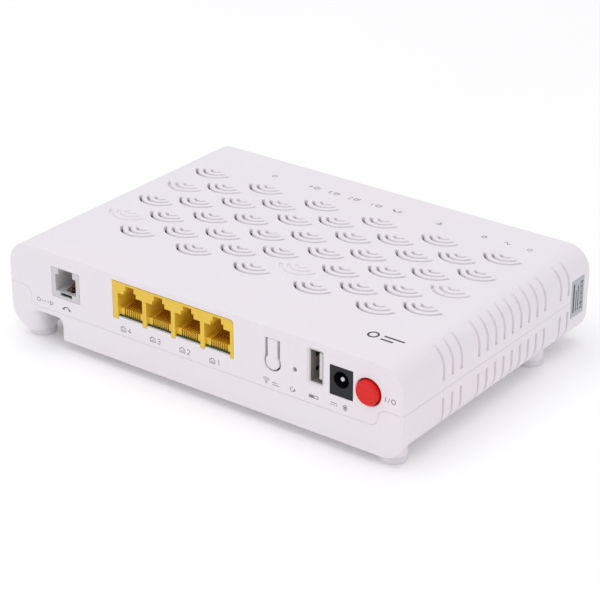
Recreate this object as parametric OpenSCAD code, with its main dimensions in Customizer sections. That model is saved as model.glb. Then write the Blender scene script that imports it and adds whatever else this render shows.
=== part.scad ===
// Optical network terminal: a flat two-shell box with its ports on the front (-Y) wall.
//
// Row frame: +Z up, X across the width, the port face towards -Y, origin at the middle of the
// footprint at the height of the feet's undersides.
// Every piece is drawn in the port frame, x across, d behind the port face, h above the lower
// edge of the port face, and place() moves it into the row frame.

/* [Casing] */
// Width across the two sides
case_w = 186.2; // [184:0.2:190]
// Depth from the port face to the far face
case_d = 129; // [128:0.5:134]
// Height from the lower edge of the port face to the flat top
case_h = 36.7; // [36.6:0.1:38]
// Wall thickness of both shells
wall = 2.2; // [2.1:0.05:2.3]
// Radius of the long top edges
top_round = 10; // [9:0.5:11]
// Radius of the long bottom edges
bottom_round = 9; // [8:0.5:10]
// Radius of the two far upright corners
corner_round = 3.5; // [3:0.5:5]
// Radius of the far top edge
far_round = 2.5; // [2:0.5:3]
// Height of the seam between the shells, along the sides
seam_h = 18.8; // [18.6:0.1:19]
// Height of the seam under the ports
apron_h = 11.5; // [11.2:0.1:12]
// Width of the visible line between the shells
seam_gap = 0.2; // [0.1:0.05:0.3]
// Height of the tray's underside above the lower edge of the port face
under_h = 1.2; // [1:0.1:1.4]

/* [Feet] */
// Height of the feet below the port face
foot_h = 3.8; // [3.4:0.1:5]
// Radius of a foot pad
foot_r = 5.3; // [5.2:0.1:5.5]
// Distance of the feet from the centre line
foot_x = 84.1; // [84:0.1:84.3]
// Depths of the front and rear feet
foot_d = [7.7, 100];
// Thickness of a foot pad
pad_t = 2.6; // [2:0.1:3]

/* [Top vents] */
// Radii of the three arcs of a vent, at mid slot
vent_radii = [2.6, 5.7, 8.8];
// Width of a vent slot
vent_slot = 1.15; // [0.9:0.05:1.3]
// Half of the angle that an arc covers
vent_half_angle = 68; // [60:1:72]
// Spacing of the vents along x
vent_pitch_x = 28.4; // [28:0.1:28.8]
// Spacing of the rows of one kind along d
vent_pitch_d = 18; // [17.8:0.1:18.2]
// Depth of the vents that do not go through
vent_blind = 0.6; // [0.4:0.1:1]

/* [Side grooves] */
// Spacing of the side grooves
groove_pitch = 5.75; // [5.6:0.05:5.8]
// Width of a side groove
groove_w = 1.35; // [1:0.05:1.5]
// Depth of a side groove
groove_t = 0.7; // [0.5:0.1:0.9]

/* [Ethernet jack] */
// Distance between port centres
port_pitch = 13.97; // [13.97:0.01:14]
// Centre of the leftmost port
first_port_x = -31.1; // [-31.4:0.1:-31]
// Width of a port opening
port_w = 12; // [11.8:0.1:12.1]
// Depth of a port
port_depth = 12.8; // [12.2:0.1:13]
// Spacing of the contact wires
contact_pitch = 1.02; // [1:0.01:1.04]

/* [Power input] */
// Centre of the power socket
dc_x = 66.65; // [66.5:0.05:66.8]
// Height of the power socket
dc_h = 25; // [24.9:0.1:25.2]
// Radius of the socket bore
dc_bore_r = 3.2; // [3.1:0.05:3.3]
// Radius of the centre pin
dc_pin_r = 1.05; // [1:0.05:1.1]
// Centre of the power button
button_x = 78.3; // [78.2:0.1:78.4]
// Height of the power button
button_h = 24; // [23.9:0.1:24.2]
// Radius of the power button
button_r = 4.75; // [4.6:0.05:4.8]
// How far the power button stands out of the port face
button_proud = 1.6; // [1.2:0.1:1.8]

/* [Wireless key and reset] */
// Centre of the wireless key
key_x = 36.2; // [36:0.1:36.4]
// Height of the middle of the key's round pad
key_h = 22.6; // [22.4:0.1:22.8]
// Height of the key's hinge line
key_hinge_h = 31.8; // [31.6:0.1:32]
// Radius of the key's round pad
key_r = 3.05; // [2.9:0.05:3.1]
// Centre of the reset hole
reset_x = 46.2; // [46:0.1:46.4]
// Height of the reset hole
reset_h = 22.7; // [22.5:0.1:22.9]
// Radius of the reset hole
reset_r = 0.9; // [0.8:0.05:1]

/* [Board] */
// Height of the board's upper face
board_h = 19.8; // [19.75:0.05:19.85]
// Thickness of the board
board_t = 1.6; // [1.5:0.1:1.6]

/* [Hidden] */
$fn = 64;

front_y = -(case_d + button_proud) / 2 + button_proud;
half_w = case_w / 2;
board_low = board_h - board_t;
hair = 0.03;         // how far a round stands past its planes, so they cross and never graze
far_in = 0.5;        // how far the upper shell overhangs the lower one at the far face
lip_t = 1;           // thickness of the lip that stands up inside the seam
lip_fit = 0.15;      // clearance between the lip and the upper shell
step_r = 3.65;       // radius of both arcs of the seam's step
step_x = 78.7;       // where the seam's level stretch under the ports ends
port_count = 4;
contact_count = 8;
last_port_x = first_port_x + (port_count - 1) * port_pitch;
lan_x0 = first_port_x - 8.6;
lan_x1 = last_port_x + 7.5;
lan_top = 33.7;
port_floor = 22.6;
port_roof = 29;
jack_lip = 0.9;      // thickness of the casing edge in front of the board
jack_low = 18.2;     // how low the front bars of the sockets reach
phone_x = [-71, -56.8];
phone_mid = -63.8;
phone_top = 30.6;
phone_wires = [for (j = [-1.5:1.5]) phone_mid + 1.27 * j];
usb_x = 55.3;
usb_h = 26.4;
usb_half = [2.85, 6.55];
usb_wall = 0.3;
usb_front = 0.8;
usb_rows = [for (j = [-1.5:1.5]) usb_h + 2.4 * j];
dc_half = 4.95;
dc_top = 29.8;
button_hole_r = 5.35;
stem_w = 3;
switch_front = 9.2;
switch_bore_end = 20.5;
key_arm = 2.2;
key_slot = 3.3;
key_root_gap = 0.12;
bay_x = [-78.4, -66.3];
bay_h = 16.7;
bay_d = 36;
bay_wall = 1.4;
notch_x = -84.1;     // where the skirt starts to turn back round the left front foot
notch_turn = 5.6;    // radius of that turn
notch_h = 9.3;
adapter_x = -72.35;
adapter_h = 10.1;
case_screw_at = [[-48, 10], [25.5, 10], [-80, 114], [80, 114]];
board_screw_at = [[-84, 50], [84, 26], [-84, 86], [84, 86]];
led_x = [-48.3, -28, -18, -8, 2.8, 13, 33.5, 54.3, 64.8, 75];
led_h = 27;
led_d = 117;
keyhole_x = 50;
keyhole_d = 66;
keyhole_r = 4.2;
keyhole_slot_r = 2.1;
antenna_d = [52, 92];
lead_r = 0.55;
lead_h = 21.7;

module place() translate([0, front_y, foot_h]) children();

module box(x0, x1, d0, d1, h0, h1) {
    translate([x0, d0, h0]) cube([x1 - x0, d1 - d0, h1 - h0]);
}

// A box centred on x and h.
module box_at(x, h, half_x, half_h, d0, d1) {
    box(x - half_x, x + half_x, d0, d1, h - half_h, h + half_h);
}

module rod_d(x, h, r, d0, d1) {
    translate([x, d0, h]) rotate([-90, 0, 0]) cylinder(r = r, h = d1 - d0);
}

module rod_h(x, d, r, h0, h1) {
    translate([x, d, h0]) cylinder(r = r, h = h1 - h0);
}

// Extrudes a shape drawn in x and h along the depth.
module along_d(d0, d1) {
    translate([0, d1, 0]) rotate([90, 0, 0]) linear_extrude(d1 - d0) children();
}

// Extrudes a shape drawn in d and h across the width.
module along_x(x0, x1) {
    translate([x0, 0, 0]) rotate([90, 0, 90]) linear_extrude(x1 - x0) children();
}

module both_sides() {
    children();
    mirror([1, 0, 0]) children();
}

// ---- casing outlines ----

// Outline seen from the ports, set in from the outside by inset, with its low edge at base.
module end_outline(inset, base) {
    half = half_w - inset;
    low = base + inset;
    top = case_h - inset;
    rt = top_round - inset;
    rb = bottom_round - inset;
    translate([-half, low + rb]) square([2 * half, top - rt - low - rb]);
    translate([rt - half, top - rt]) square([2 * (half - rt), rt]);
    translate([rb - half, low]) square([2 * (half - rb), rb]);
    for (s = [-1, 1]) {
        translate([s * (half - rt), top - rt]) circle(r = rt);
        translate([s * (half - rb), low + rb]) circle(r = rb);
    }
}

// The casing between two depths, with the far corners and edges rounded.
module casing(inset, base, d0, d1) {
    half = half_w - inset;
    rc = corner_round - min(inset, corner_round - 1);
    re = far_round - min(inset, far_round - 0.8);
    difference() {
        along_d(d0, d1) end_outline(inset, base);
        for (s = [0, 1]) mirror([s, 0, 0])
            translate([half - rc + hair, d1 - rc + hair, -1])
                linear_extrude(case_h + 2) corner_piece(rc);
        translate([0, d1 - re + hair, case_h - inset - re + hair])
            along_x(-half_w, half_w) corner_piece(re);
        translate([0, d1 - re + hair, base + inset + re - hair])
            along_x(-half_w, half_w) mirror([0, 1]) corner_piece(re);
    }
}

// The square corner beyond a circle of radius r that is centred on the origin.
module corner_piece(r) {
    difference() {
        square([r + 1, r + 1]);
        circle(r = r);
    }
}

// The part of the upper shell's port wall that hangs below the side seam, grown by gap.
module apron_outline(gap) {
    r_in = step_r - gap;
    r_out = step_r + gap;
    mid_h = apron_h + step_r;
    outer = step_x + step_r;
    far = step_x + 2 * step_r;
    difference() {
        union() {
            translate([-step_x, apron_h - gap]) square([2 * step_x, step_r + 2]);
            translate([-outer - gap, mid_h]) square([2 * (outer + gap), seam_h - mid_h + 1]);
            for (s = [-1, 1]) translate([s * step_x, mid_h]) circle(r = r_out);
            translate([-far, mid_h]) square([2 * far, seam_h - mid_h + 1]);
        }
        for (s = [-1, 1]) {
            translate([s * far, mid_h]) circle(r = r_in);
            translate([s * (far + 2), mid_h - step_r]) square([4, 2 * step_r], center = true);
        }
    }
}

// ---- cutters shared by the shells ----

module vent_arcs() {
    for (r = vent_radii)
        intersection() {
            difference() {
                circle(r = r + vent_slot / 2);
                circle(r = r - vent_slot / 2);
            }
            polygon([[0, 0], [-20, -20 / tan(vent_half_angle)], [-20, -20], [20, -20],
                     [20, -20 / tan(vent_half_angle)]]);
        }
}

// Where the vents are: each entry is x, d of an arc centre and whether it is blind.
even_vents = [for (k = [0:3]) for (i = [0:5])
    [-71.5 + vent_pitch_x * i, 102.9 - vent_pitch_d * k, k == 3 && (i == 0 || i == 3)]];
odd_vents = [for (k = [0:3]) for (i = [0:4])
    [-57.3 + vent_pitch_x * i, 93.1 - vent_pitch_d * k, false]];
vents = concat(even_vents, odd_vents);

module vent_cutters() {
    for (v = vents)
        translate([v.x, v.y, case_h - (v[2] ? vent_blind : wall + 1)])
            linear_extrude(wall + 2) vent_arcs();
}

// Slabs across the casing, one for each side groove in a list of places, between two heights.
module groove_slabs(places, h0, h1) {
    for (k = places)
        box(-half_w - 1, half_w + 1, 25.3 + groove_pitch * k - groove_w / 2,
            25.3 + groove_pitch * k + groove_w / 2, h0, h1);
}

// Grooves that fade out where the slanted copy of the casing meets its surface.
module groove_cutters(places, h0, h1, rise) {
    difference() {
        groove_slabs(places, h0, h1);
        both_sides()
            intersection() {
                box(-half_w - 2, 0, 0, case_d, -5, case_h + 5);
                translate([groove_t, 0, rise]) along_d(5, case_d - 5) end_outline(0, under_h);
            }
    }
}

side_groove_places = [for (k = [0:15]) if (k != 3 && k != 13) k];

module side_label_pocket() {
    box(half_w - 0.12, half_w + 1, 113.6, 123.2, 11.5, 27.5);
}

// ---- casing pieces ----

module top_cover() color("#f1edf1") place() difference() {
    union() {
        difference() {
            intersection() {
                casing(0, under_h, wall, case_d);
                box(-100, 100, -1, case_d + 1, seam_h + seam_gap / 2, case_h + 1);
            }
            casing(wall, under_h, wall - 1, case_d - wall);
        }
        for (p = case_screw_at) rod_h(p.x, p.y, 3.2, 13.2, case_h - 1);
    }
    for (p = case_screw_at) rod_h(p.x, p.y, 1.55, 13, 27);
    vent_cutters();
    groove_cutters(side_groove_places, 22.5, case_h + 1, 0.25);
    for (x = led_x) box(x - 1.6, x + 1.6, case_d - wall - 1, case_d + 1, led_h - 0.9, led_h + 0.9);
    side_label_pocket();
}

// The port wall of the upper shell, with the apron that hangs below the side seam.
module port_panel() color("#f1edf1") place() difference() {
    union() {
        intersection() {
            along_d(0, wall) end_outline(0, under_h);
            box(-100, 100, -1, wall + 1, seam_h + seam_gap / 2, case_h + 1);
        }
        intersection() {
            along_d(0, wall) apron_outline(0);
            along_d(0, wall) end_outline(0, 0);
        }
    }
    jack_cutouts();
    control_cutouts();
}

module jack_cutouts() {
    // Ethernet: the opening, a slot for each front bar, and room for the board's edge
    box(lan_x0 - 0.1, lan_x1 + 0.1, -1, wall + 1, 19.1, lan_top + 0.1);
    for (x = bar_x) box(x[0] - 0.1, x[1] + 0.1, -1, wall + 1, jack_low - 0.1, 20);
    box(lan_x0 - 0.6, lan_x1 + 0.6, jack_lip, wall + 1, board_low - 0.3, 21);
    // Telephone
    box(phone_x[0] - 0.1, phone_x[1] + 0.1, -1, wall + 1, jack_low - 0.1, phone_top + 0.1);
    box(phone_x[0] - 0.6, phone_x[1] + 0.6, jack_lip, wall + 1, board_low - 0.3, 21);
    // Power
    box(dc_x - dc_half - 0.1, dc_x + dc_half + 0.1, -1, wall + 1, jack_low - 0.1, dc_top + 0.1);
    box(dc_x - dc_half - 0.6, dc_x + dc_half + 0.6, jack_lip, wall + 1, board_low - 0.3, 21);
}

module control_cutouts() {
    rod_d(button_x, button_h, button_hole_r, -1, wall + 1);
    rod_d(reset_x, reset_h, reset_r, -1, wall + 1);
    // Wireless key: a slot that is wider round the pad
    rod_d(key_x, key_h, key_r + 0.7, -1, wall + 1);
    box(key_x - key_slot, key_x + key_slot, -1, wall + 1, key_h, key_hinge_h);
    // USB: the opening is dished towards the shell of the socket
    box(usb_x - usb_half[0] - 0.15, usb_x + usb_half[0] + 0.15, -1, wall + 1,
        usb_h - usb_half[1] - 0.1, usb_h + usb_half[1] + 0.15);
}

// Ends of each front bar of the Ethernet jack: one at each end and one between ports.
bar_x = concat(
    [[lan_x0, first_port_x - port_w / 2]],
    [for (i = [0:port_count - 2]) [first_port_x + i * port_pitch + port_w / 2,
                                   first_port_x + (i + 1) * port_pitch - port_w / 2]],
    [[last_port_x + port_w / 2, lan_x1]]);

module bottom_shell() color("#efebef") place() difference() {
    union() {
        difference() {
            intersection() {
                casing(0, under_h, wall, case_d - far_in);
                box(-100, 100, -1, case_d + 1, 0, seam_h - seam_gap / 2);
            }
            casing(wall, under_h, wall - 1, case_d - far_in - wall);
        }
        // Port-face skirt, with the step of the seam and the fibre notch cut out
        along_d(0, wall) difference() {
            intersection() {
                end_outline(0, 0);
                translate([-100, -1]) square([200, seam_h - seam_gap / 2 + 1]);
            }
            apron_outline(seam_gap);
            notch_outline();
        }
        seam_lip();
        foot_columns();
        fibre_bay_walls();
        for (p = board_screw_at) rod_h(p.x, p.y, 3, under_h + 1, board_low);
        for (p = case_screw_at) rod_h(p.x, p.y, 4.2, under_h, 13);
    }
    fibre_bay_hollow();
    for (p = board_screw_at) rod_h(p.x, p.y, 1.3, 8, board_low + 1);
    for (p = case_screw_at) {
        rod_h(p.x, p.y, 3, under_h - 1, 10.6);
        rod_h(p.x, p.y, 1.65, 10, 14);
    }
    keyholes();
    floor_slots();
    groove_cutters(side_groove_places, -2, 15.7, -0.3);
    side_label_pocket();
    box(8, 72, 82, 112, under_h - 1, under_h + 0.3);
}

module notch_outline() {
    r = 3;
    w = bay_x[1] - notch_x;
    translate([notch_x, -1]) square([w, notch_h - r + 1]);
    translate([notch_x, notch_h - r - 1]) square([w - r, r + 1]);
    translate([bay_x[1] - r, notch_h - r]) circle(r = r);
}

// A lip inside the seam, round the sides and the far end.
module seam_lip() {
    out = wall + lip_fit;
    difference() {
        intersection() {
            casing(out, under_h, 10, case_d - out);
            box(-100, 100, 10, case_d, seam_h - 3, seam_h + 1.6);
        }
        casing(out + lip_t, under_h, 9, case_d - out - lip_t);
    }
    // Ties the lip to the wall below the seam
    difference() {
        intersection() {
            casing(wall - 0.3, under_h, 10, case_d - far_in - wall + 0.3);
            box(-100, 100, 10, case_d, seam_h - 3.4, seam_h - 0.6);
        }
        casing(out + lip_t, under_h, 9, case_d - out - lip_t);
    }
}

module foot_columns() {
    for (s = [-1, 1], d = foot_d) rod_h(s * foot_x, d, foot_r - 0.2, pad_t - foot_h, 8);
}

module fibre_bay_walls() {
    // The bay's box stands clear of the apron above the seam and joins the skirt below it
    box(bay_x[0] - bay_wall, bay_x[1] + bay_wall, wall + 0.15, bay_d + bay_wall, under_h, bay_h + bay_wall);
    box(bay_x[0] - bay_wall, bay_x[1] + bay_wall, wall - 0.5, wall + 0.2, under_h, apron_h - 0.5);
    // A block beside the notch that the cutter below rounds
    box(notch_x, bay_x[0] + 0.5, 0, 9.2, 0, notch_h + 1.5);
}

module fibre_bay_hollow() {
    box(bay_x[0], bay_x[1], wall, bay_d, under_h - 3, bay_h);
    // Window in the bay's end wall for the adapter
    box_at(adapter_x, adapter_h, 4.8, 6.5, bay_d - 1, bay_d + bay_wall + 1);
    // Opens the bay into the notch
    box(bay_x[0], bay_x[1], wall - 1, wall + 1, under_h - 3, notch_h - 3);
    // Turns the skirt back round the left front foot
    translate([notch_x, notch_turn - hair, -1])
        linear_extrude(notch_h + 1) mirror([0, 1]) corner_piece(notch_turn);
}

module keyholes() {
    for (s = [-1, 1]) {
        rod_h(s * keyhole_x, keyhole_d, keyhole_r, 0, 6);
        rod_h(s * keyhole_x, keyhole_d + 8, keyhole_slot_r, 0, 6);
        box(s * keyhole_x - keyhole_slot_r, s * keyhole_x + keyhole_slot_r, keyhole_d, keyhole_d + 8, 0, 6);
    }
}

module floor_slots() {
    for (i = [0:13], d = [28, 62])
        box(-33.5 + 5 * i, -31.5 + 5 * i, d, d + 16, 0, 6);
}

module foot_pads() color("#e6e2e6") place()
    for (s = [-1, 1], d = foot_d) difference() {
        rod_h(s * foot_x, d, foot_r, -foot_h, pad_t - foot_h);
        translate([s * foot_x, d, -foot_h]) rotate_extrude() translate([3.4, 0]) circle(r = 0.35);
    }

module case_screws() color("#8d9096") place()
    for (p = case_screw_at) difference() {
        union() {
            rod_h(p.x, p.y, 2.7, 8.6, 10.55);
            rod_h(p.x, p.y, 1.5, 10.5, 22);
        }
        cross_recess(p.x, p.y, 8.5, 9.7);
    }

module cross_recess(x, d, h0, h1) {
    box(x - 1.5, x + 1.5, d - 0.3, d + 0.3, h0, h1);
    box(x - 0.3, x + 0.3, d - 1.5, d + 1.5, h0, h1);
}

// ---- board and its fasteners ----

module main_board() color("#1f6b3a") place() difference() {
    union() {
        box(-88, 88, wall + 0.4, 121.5, board_low, board_h);
        box(lan_x0 - 0.3, lan_x1 + 0.3, jack_lip + 0.1, wall + 2, board_low, board_h);
        box(phone_x[0] - 0.3, phone_x[1] + 0.3, jack_lip + 0.1, wall + 2, board_low, board_h);
        box(dc_x - dc_half - 0.3, dc_x + dc_half + 0.3, jack_lip + 0.1, wall + 2, board_low, board_h);
    }
    for (p = case_screw_at) rod_h(p.x, p.y, 3.6, 0, 30);
    for (p = board_screw_at) rod_h(p.x, p.y, 1.6, 0, 30);
    // Bay for the power button and its collar
    box(button_x - 6.3, button_x + 6.3, 0, switch_front - 0.2, 0, 30);
}

module board_screws() color("#9a9da3") place()
    for (p = board_screw_at) difference() {
        union() {
            rod_h(p.x, p.y, 2.6, board_h, board_h + 1.7);
            rod_h(p.x, p.y, 1.25, 10, board_h + 0.1);
        }
        cross_recess(p.x, p.y, board_h + 0.7, board_h + 2);
    }

// ---- Ethernet jack ----

module ethernet_jack() color("#e9cf4c") place() difference() {
    union() {
        along_d(0, 15.8) {
            translate([lan_x0, board_h]) square([lan_x1 - lan_x0 - 1.5, lan_top - board_h]);
            translate([lan_x0, board_h]) square([lan_x1 - lan_x0, lan_top - board_h - 1.5]);
            translate([lan_x1 - 1.5, lan_top - 1.5]) circle(r = 1.5);
        }
        for (x = bar_x) box(x[0], x[1], 0, jack_lip, jack_low, board_h + 0.5);
    }
    for (i = [0:port_count - 1]) translate([first_port_x + i * port_pitch, 0, 0]) port_hollow();
}

module port_hollow() {
    box(-port_w / 2, port_w / 2, -1, port_depth, port_floor, port_roof);
    box(-3, 3, -1, port_depth, port_roof - 0.5, port_roof + 1.8);
    box(-2, 2, -1, port_depth, port_roof, port_roof + 3.8);
    // The floor stands back from the front, with a slot for each wire
    box(-port_w / 2, port_w / 2, -1, 1.2, board_h - 0.1, port_floor + 0.1);
    for (j = [0:contact_count - 1])
        translate([contact_pitch * (j - (contact_count - 1) / 2), 0, 0])
            box(-0.33, 0.33, 1, 4.4, board_h - 0.1, port_floor + 0.1);
}

module ethernet_contacts() color("#c9973a") place()
    for (i = [0:port_count - 1], j = [0:contact_count - 1])
        translate([first_port_x + i * port_pitch + contact_pitch * (j - (contact_count - 1) / 2), 0, 0])
            spring_wire(0.21, 1.9, port_floor - 0.3, 10.6, port_floor + 1.9);

// A square wire that stands on the board, bends and slants back to its free end.
module spring_wire(r, d0, h0, d1, h1) {
    along_x(-r, r) polygon([
        [d0 - r, board_h + 0.05], [d0 + r, board_h + 0.05], [d0 + r, h0 - r],
        [d1, h1 - 2 * r], [d1, h1], [d0 - r, h0]]);
}

// ---- telephone jack ----

module phone_jack() color("#c9c7ca") place() difference() {
    union() {
        box(phone_x[0], phone_x[1], 0, 16, board_h, phone_top);
        box(phone_x[0], phone_x[1], 0, jack_lip, jack_low, board_h + 0.5);
    }
    box(phone_mid - 5.2, phone_mid + 5.2, -1, 12.6, 21, 28);
    box(phone_mid - 3.6, phone_mid + 3.6, -1, 12.6, 27.5, phone_top + 1);
    box(phone_mid - 3, phone_mid + 3, -1, 2.2, 19.3, 20.7);
    for (x = phone_wires) box(x - 0.35, x + 0.35, 2, 7, board_h - 0.1, 21.1);
}

module phone_contacts() color("#c9973a") place()
    for (x = phone_wires) translate([x, 0, 0])
        spring_wire(0.23, 3, 20.9, 10.5, 22.9);

// ---- USB socket ----

module usb_shell() color("#b9bcc2") place() difference() {
    box_at(usb_x, usb_h, usb_half[0], usb_half[1], usb_front, 14.6);
    box_at(usb_x, usb_h, usb_half[0] - usb_wall, usb_half[1] - usb_wall, 0, 14.3);
    for (s = [-1, 1]) box_at(usb_x - 3, usb_h + s * 3, 1, 0.9, 4, 8);
}

module usb_tongue() color("#e8e6ea") place() difference() {
    union() {
        box(usb_x + 0.5, usb_x + 1.95, 1.9, 12, usb_h - 5.2, usb_h + 5.2);
        box(usb_x - 2.5, usb_x + 2.5, 11.9, 14.2, usb_h - 6.2, usb_h + 6.2);
    }
    for (h = usb_rows) box_at(usb_x + 0.575, h, 0.175, 0.55, 2.4, 11);
}

module usb_contacts() color("#d3a948") place()
    for (h = usb_rows) box_at(usb_x + 0.62, h, 0.12, 0.5, 2.5, 10.9);

// ---- power input ----

module power_jack() color("#26262a") place() difference() {
    union() {
        box(dc_x - dc_half, dc_x + dc_half, 0, 13.6, board_h, dc_top);
        box(dc_x - dc_half, dc_x + dc_half, 0, jack_lip, jack_low, board_h + 0.5);
    }
    rod_d(dc_x, dc_h, dc_bore_r, -1, 10.6);
    rod_d(dc_x, dc_h, dc_pin_r - 0.2, 10, 12.4);
    // Side slot for the outer contact
    box(dc_x - 4.1, dc_x - 2.6, 3.6, 10.4, dc_h - 1.1, dc_h + 1.1);
}

module power_jack_pin() color("#c3c6cb") place() {
    rod_d(dc_x, dc_h, dc_pin_r, 1.1, 10.5);
    rod_d(dc_x, dc_h, dc_pin_r - 0.2, 10.4, 12.3);
    translate([dc_x, 1.1, dc_h]) rotate([90, 0, 0]) cylinder(r1 = dc_pin_r, r2 = 0.75, h = 0.4);
}

module power_jack_spring() color("#c3c6cb") place()
    box(dc_x - 3.9, dc_x - 3.5, 3.7, 10.3, dc_h - 1, dc_h + 1);

module power_button() color("#c9242f") place() difference() {
    union() {
        rod_d(button_x, button_h, button_r, 0.9 - button_proud, 6);
        rod_d(button_x, button_h, button_r - 0.45, -button_proud, 1);
        rod_d(button_x, button_h, 6, wall + 0.2, wall + 1.2);
    }
    box_at(button_x, button_h, stem_w / 2 + 0.05, stem_w / 2 + 0.05, 3.2, 7);
}

module power_switch_body() color("#3a3a40") place() difference() {
    box(button_x - 4.25, button_x + 4.25, switch_front, 22, board_h, board_h + 8.5);
    box_at(button_x, button_h, stem_w / 2 + 0.2, stem_w / 2 + 0.2, switch_front - 1, switch_bore_end);
}

module power_switch_stem() color("#e4e2e6") place()
    box_at(button_x, button_h, stem_w / 2, stem_w / 2, 3.3, 13.2);

module power_switch_spring() color("#aeb1b7") place()
    translate([button_x, 13.3, button_h]) rotate([-90, 0, 0])
        linear_extrude(switch_bore_end - 13.4, twist = -360 * 5, slices = 80, $fn = 8)
            translate([1.05, 0]) circle(r = 0.26);

// ---- wireless key, reset ----

module wlan_key() color("#f3eff3") place() {
    along_d(0.2, 1.8) {
        translate([key_x, key_h]) circle(r = key_r);
        translate([key_x - key_arm, key_h]) square([2 * key_arm, key_hinge_h - key_root_gap - key_h]);
    }
    rod_d(key_x, key_h, key_r - 0.5, -0.1, 0.3);
    rod_d(key_x, key_h, 1.3, 1.7, 3.3);
}

module wlan_switch_body() color("#2d2d31") place() difference() {
    box(key_x - 3, key_x + 3, 5.4, 8.9, board_h, board_h + 6);
    rod_d(key_x, key_h, 1.68, 5, 7.4);
}

module wlan_switch_plunger() color("#d9d5d9") place() rod_d(key_x, key_h, 1.6, 3.45, 6.6);

module reset_switch_body() color("#2d2d31") place() difference() {
    box(reset_x - 3, reset_x + 3, 6, 9.5, board_h, board_h + 5.8);
    rod_d(reset_x, reset_h, 1.48, 5, 8);
}

module reset_switch_plunger() color("#d9d5d9") place() rod_d(reset_x, reset_h, 1.4, 4.4, 7.2);

// ---- optical parts ----

module fibre_adapter() color("#2f9a58") place() difference() {
    union() {
        box_at(adapter_x, adapter_h, 4.7, 6.4, 20, 52);
        box_at(adapter_x, adapter_h, 6.2, 6.6, bay_d + bay_wall + 0.1, bay_d + bay_wall + 2.1);
    }
    box_at(adapter_x, adapter_h, 3.75, 4.6, 19, 34);
    box_at(adapter_x, adapter_h + 4.75, 1.3, 0.75, 19, 30);
    rod_d(adapter_x, adapter_h, 2.05, 30, 45);
    box_at(adapter_x, adapter_h, 3.75, 4.6, 43, 53);
}

module fibre_sleeve() color("#f2f0ea") place() difference() {
    rod_d(adapter_x, adapter_h, 1.95, 28.6, 44.4);
    rod_d(adapter_x, adapter_h, 1.26, 28, 45);
}

module optical_module() color("#c7a65a") place() {
    rod_d(adapter_x, adapter_h, 1.24, 38, 54);
    rod_d(adapter_x, adapter_h, 3, 46, 56);
    box(adapter_x - 3.4, adapter_x + 3.4, 55.9, 64, adapter_h - 3.4, adapter_h + 3.4);
    rod_d(adapter_x, adapter_h, 2.8, 63.9, 69);
    rod_h(adapter_x, 60, 2.8, adapter_h + 3.3, board_low - 0.6);
}

module optical_shield() color("#c6c9ce") place()
    box(-62, -40, 46, 68, board_low - 4.5, board_low);

// ---- chips and power parts on the board ----

module main_processor() color("#2a2b2f") place() box(-12, 12, 50, 74, board_h, board_h + 1.9);

module thermal_pad() color("#8fb3c9") place() box(-11, 11, 51, 73, board_h + 1.9, board_h + 2.7);

module heat_sink() color("#b4b8bd") place() {
    box(-18, 18, 44, 80, board_h + 2.7, board_h + 4.9);
    for (i = [0:8]) box(-18 + 4.3 * i, -16.4 + 4.3 * i, 44, 80, board_h + 4.8, board_h + 12.5);
}

module memory_chip() color("#2a2b2f") place() box(26, 39, 56, 65, board_h, board_h + 1.2);

module flash_chip() color("#2a2b2f") place() box(-38, -26, 58, 76, board_h, board_h + 1.2);

module wlan_shield() color("#c6c9ce") place() difference() {
    box(46, 74, 54, 82, board_h, board_h + 3);
    box(46.3, 73.7, 54.3, 81.7, board_h - 1, board_h + 2.7);
    for (i = [0:4], j = [0:4]) rod_h(50 + 5 * i, 58 + 5 * j, 0.9, board_h, board_h + 5);
}

module lan_transformers() color("#26262a") place()
    for (x = [-26, 3]) box(x - 9, x + 9, 20, 32, board_h, board_h + 5.6);

module phone_line_chip() color("#2a2b2f") place() box(-68, -60, 30, 38, board_h, board_h + 1.1);

module power_coils() color("#4a4742") place()
    for (x = [48, 60, 72]) difference() {
        rod_h(x, 44, 4.6, board_h, board_h + 5);
        rod_h(x, 44, 1.2, board_h + 3.6, board_h + 6);
    }

module capacitors() color("#33405c") place()
    for (p = [[64, 28], [74, 29], [52, 30], [-52, 30]]) {
        rod_h(p.x, p.y, 4, board_h, board_h + 10.6);
        rod_h(p.x, p.y, 3.4, board_h + 10.5, board_h + 11);
    }

// ---- lamps and antennas ----

module status_leds() color("#e9f3c4") place()
    for (x = led_x) box(x - 1, x + 1, led_d, led_d + 1.6, board_h, board_h + 0.9);

module light_guide() color("#dfeaf0") place() {
    box(led_x[0] - 2.5, led_x[9] + 2.5, led_d - 0.8, led_d + 2.4, led_h - 3.4, led_h - 1.6);
    for (x = led_x) {
        box(x - 1.5, x + 1.5, led_d - 0.5, led_d + 2.1, board_h + 1.4, led_h - 3.3);
        box(x - 1.5, x + 1.5, led_d - 0.5, led_d + 2.1, led_h - 1.7, led_h + 0.8);
        box(x - 1.5, x + 1.5, led_d + 2, case_d - 0.2, led_h - 0.8, led_h + 0.8);
    }
    for (x = [led_x[0] - 2.2, led_x[9] + 2.2])
        box(x - 0.3, x + 0.3, led_d, led_d + 2, board_h, led_h - 3.3);
}

module antenna(s) {
    box(s * 89.4 - 0.4, s * 89.4 + 0.4, antenna_d[0], antenna_d[1], 21.6, 28.4);
}

// A thin lead that lies level along points given as x, d.
module antenna_lead(points) {
    translate([0, 0, lead_h]) linear_extrude(2 * lead_r) {
        for (i = [0:len(points) - 2]) {
            v = points[i + 1] - points[i];
            translate(points[i]) rotate(atan2(v.y, v.x)) translate([-lead_r, -lead_r])
                square([norm(v) + 2 * lead_r, 2 * lead_r]);
        }
    }
}

module left_antenna() color("#1f6b3a") place() antenna(-1);

module right_antenna() color("#1f6b3a") place() antenna(1);

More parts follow.
